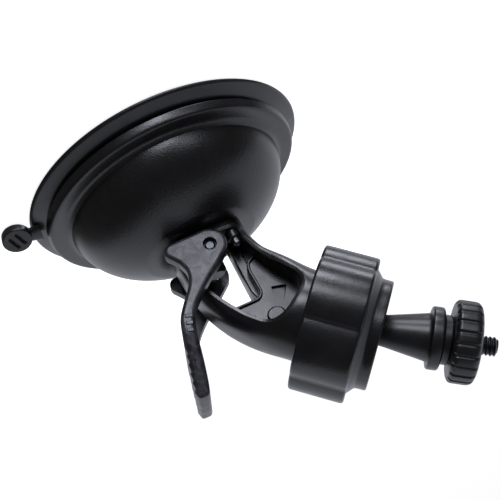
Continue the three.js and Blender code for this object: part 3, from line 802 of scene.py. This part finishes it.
def wheel_mesh():
    """The thumbwheel: a rounded profile swung round the stud's axis, less a scallop at each
    flute: the radius falls by a bell of the angle to the nearest flute."""
    profile = rounded([
        (5.5, WHEEL_START), (11.8, WHEEL_START, 0.5), (WHEEL_RADIUS, WHEEL_START + 0.9, 0.8),
        (WHEEL_RADIUS, WHEEL_END - 1.2, 1.6), (11.2, WHEEL_END, 1.2), (8.6, WHEEL_END, 0.2),
        (8.4, WHEEL_END - 0.35, 0.2), (6.4, WHEEL_END - 0.35, 0.2), (6.2, WHEEL_END, 0.2),
        (5.5, WHEEL_END)], 7)
    turn = np.linspace(0, 2 * np.pi, FLUTES * 20, endpoint=False)
    near = np.abs((turn * FLUTES / (2 * np.pi) + 0.5) % 1 - 0.5) * 2 * np.pi / FLUTES * WHEEL_RADIUS
    scallop = np.clip(1 - (near / 0.75) ** 2, 0, 1) ** 0.75 * 0.5
    points = ring_points(profile, len(turn))
    reach = np.clip((profile[:, :1] - 10.6) / 1.9, 0, 1)
    radius = profile[:, :1] - scallop[None] * reach
    points[..., 0], points[..., 1] = radius * np.cos(turn), radius * np.sin(turn)
    return grid("thumbwheel", leaned(points, STUD_LEAN), wrap_rows=True)


def pin_mesh():
    """The lever pin along Y, with a small bevel at each end."""
    end, radius = PIN_HALF, PIN_RADIUS
    profile = rounded([
        (0, -end), (radius - 0.25, -end + 0.02, 0.1), (radius, -end + 0.3, 0.1),
        (radius, end - 0.3, 0.1), (radius - 0.25, end - 0.02, 0.1), (0, end)], 5)
    return shifted(turned("lever_pin", profile, 48), (0, 0, PIN_HEIGHT), across=True)


piece("pad_disc", pad_mesh(), pvc, "base", ["suction_pad"])
piece("pull_tab", tab_mesh(), pvc, "base", ["suction_pad"])
piece("dome_shell", dome_mesh(), housing_abs, "base", ["dome_housing"])
piece("lever_body", lever_mesh(), lever_nylon, "lever", ["lock_lever"])
piece("lever_bars", lever_steps(), lever_nylon, "lever", ["lock_lever"])
piece("arm_body", arm_mesh(), arm_abs, "base", ["support_arm"])
piece("arm_web", web_mesh(), arm_abs, "base", ["support_arm"])
piece("arm_web_rim", web_rib(), arm_abs, "base", ["support_arm"])
piece("arm_details", arm_details(), arm_abs, "base", ["support_arm"])
piece("nut_grip", nut_mesh(), nut_abs, "nut", ["ball_nut"], 26)
piece("stem_body", stem_mesh(), stem_nylon, "stem", ["ball_stem"])
piece("stud_thread", stud_mesh(), black_steel, "stem", ["threaded_stud"], 50)
piece("wheel_body", wheel_mesh(), wheel_abs, "wheel", ["thumbwheel"])
# The pin takes the darker copy of the zinc, whose colour carries painted shade.
piece("pin_body", pin_mesh(), pin_steel_painted_shade, "plunger", ["lever_pin"])

KEPT = {
    "core_plate": core_plastic, "plunger_spring": spring_steel, "spring_washer": zinc_steel,
    "stem_bush": acetal, "arm_screw_1": zinc_steel, "arm_screw_2": zinc_steel,
    "arm_screw_3": zinc_steel, "seat_cushion": cork_rubber, "rear_ball_seat": acetal,
    "front_ball_ring": acetal, "wheel_insert": brass,
}
for node, finish in KEPT.items():
    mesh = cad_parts[node].data
    mesh.materials.clear()
    mesh.materials.append(finish)


# ---------------------------------------------------------------- stage

COOL_WHITE = (0.87, 0.895, 1.0)
# The height that the lights aim at, and the floor's half side and height, in metres.
AIM_HEIGHT = 0.045
FLOOR_HALF = 4.0
FLOOR_HEIGHT = -0.0003


def softbox(name, direction, distance, size, brightness, glossy=True, aside=0.0):
    """A square light of this side and brightness, that way from the mount and facing back along
    that way; aside moves it towards +X."""
    way = np.array(direction, float) / np.linalg.norm(direction)
    lamp = bpy.data.lights.new(name, "AREA")
    lamp.shape, lamp.size = "SQUARE", size
    lamp.energy = brightness * math.pi * size ** 2
    lamp.color = COOL_WHITE
    light = bpy.data.objects.new(name, lamp)
    light.location = np.array([aside, 0, AIM_HEIGHT]) + way * distance
    light.rotation_euler = Vector(way).to_track_quat("Z", "Y").to_euler()
    light.visible_camera = False
    light.visible_glossy = glossy
    bpy.context.scene.collection.objects.link(light)


softbox("main_softbox", (0.05, 0.945, -0.33), 0.70, 0.23, 13.5)
softbox("side_softbox", (0.38, 0.92, -0.05), 0.70, 0.20, 3.2)
softbox("rim_softbox", (0.43, 0.60, -0.675), 0.70, 0.22, 13.0)
softbox("upper_softbox", (0.68, -0.04, -0.73), 0.60, 0.14, 8.0)
softbox("white_sweep", (-0.03, -0.93, 0.37), 0.16, 1.7, 0.85, aside=0.67)
softbox("room_light", (0.2, 0.1, 1.0), 0.90, 0.80, 0.9, glossy=False)

floor_mesh = bpy.data.meshes.new("floor")
floor_mesh.from_pydata([(x * FLOOR_HALF, y * FLOOR_HALF, FLOOR_HEIGHT)
                        for x, y in ((-1, -1), (1, -1), (1, 1), (-1, 1))], [], [(0, 1, 2, 3)])
floor_paint = bpy.data.materials.new("white_studio_floor")
floor_paint.use_nodes = True
paint = floor_paint.node_tree.nodes["Principled BSDF"]
paint.inputs["Base Color"].default_value = linear("f2f2f2")
paint.inputs["Roughness"].default_value = 0.9
paint.inputs["Emission Color"].default_value = linear("ffffff")
paint.inputs["Emission Strength"].default_value = 0.88
floor_mesh.materials.append(floor_paint)
floor = bpy.data.objects.new("floor", floor_mesh)
bpy.context.scene.collection.objects.link(floor)
floor.visible_shadow = False
floor.visible_glossy = False

world = bpy.data.worlds.new("studio")
bpy.context.scene.world = world
world.use_nodes = True
sky = world.node_tree
path = add(sky, "ShaderNodeLightPath").outputs["Is Camera Ray"]
strength = add(sky, "ShaderNodeMapRange", {"To Min": 0.10, "To Max": 1.0}, {"Value": path})
sky.nodes["Background"].inputs["Color"].default_value = linear("ffffff")
sky.links.new(strength.outputs["Result"], sky.nodes["Background"].inputs["Strength"])

view = bpy.context.scene.view_settings
view.view_transform, view.look, view.exposure, view.gamma = "Standard", "None", 0.0, 1.0

# The camera's own right, down and forward directions: it is rolled, so that the upright mount
# is shown lying on its side.
right = (0.89993, -0.00401, 0.43603)
down = (-0.39432, -0.43436, 0.80984)
ahead = (0.18615, -0.90073, -0.39247)
lens = bpy.data.cameras.new("camera")
lens.lens, lens.sensor_width, lens.clip_start = 75.6, 36.0, 0.01
camera = bpy.data.objects.new("camera", lens)
pose = Matrix.Identity(4)
for i in range(3):
    pose[i][0], pose[i][1], pose[i][2] = right[i], -down[i], -ahead[i]
pose.translation = (-0.04988, 0.30538, 0.17052)
camera.matrix_world = pose
bpy.context.scene.collection.objects.link(camera)
bpy.context.scene.camera = camera
